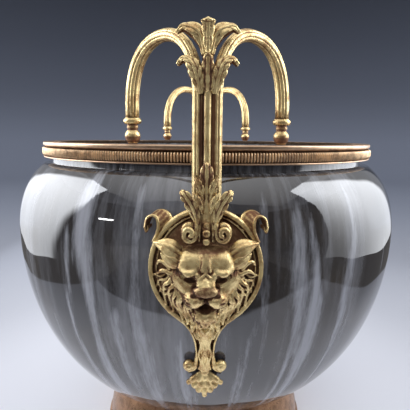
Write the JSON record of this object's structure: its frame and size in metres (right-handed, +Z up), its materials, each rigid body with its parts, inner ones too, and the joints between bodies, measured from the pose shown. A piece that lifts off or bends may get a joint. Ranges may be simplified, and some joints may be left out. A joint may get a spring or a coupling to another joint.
{
  "type": "cachepot",
  "caption": "Wide bellied glazed ceramic cachepot in gilt bronze mounts, with arched tubular handles that rise from lion masks, a capped rim and a tall convex foot.",
  "frame": {"origin": "centre of the foot ring's underside, on the surface that the pot stands on", "axes": "+Z up along the bowl's axis, -Y towards the front handle and its lion mask, +X to the viewer's right"},
  "size_m": [0.2842, 0.3188, 0.2897],
  "materials": {
    "glaze": "glossy dark grey glaze with pale vertical runs",
    "gilt_bronze": "gilt, satin on the high points, brown in the hollows",
    "red_bronze": "worn gilding over reddish brown bronze"
  },
  "bodies": {
    "root": {"bowl": "glaze", "rim_ring": "red_bronze", "foot_ring": "red_bronze", "handle_front": "gilt_bronze", "handle_back": "gilt_bronze", "lion_mask_front": "gilt_bronze", "lion_mask_back": "gilt_bronze", "knop_front_left": "gilt_bronze", "knop_front_right": "gilt_bronze", "knop_back_left": "gilt_bronze", "knop_back_right": "gilt_bronze"}
  },
  "joints": []
}
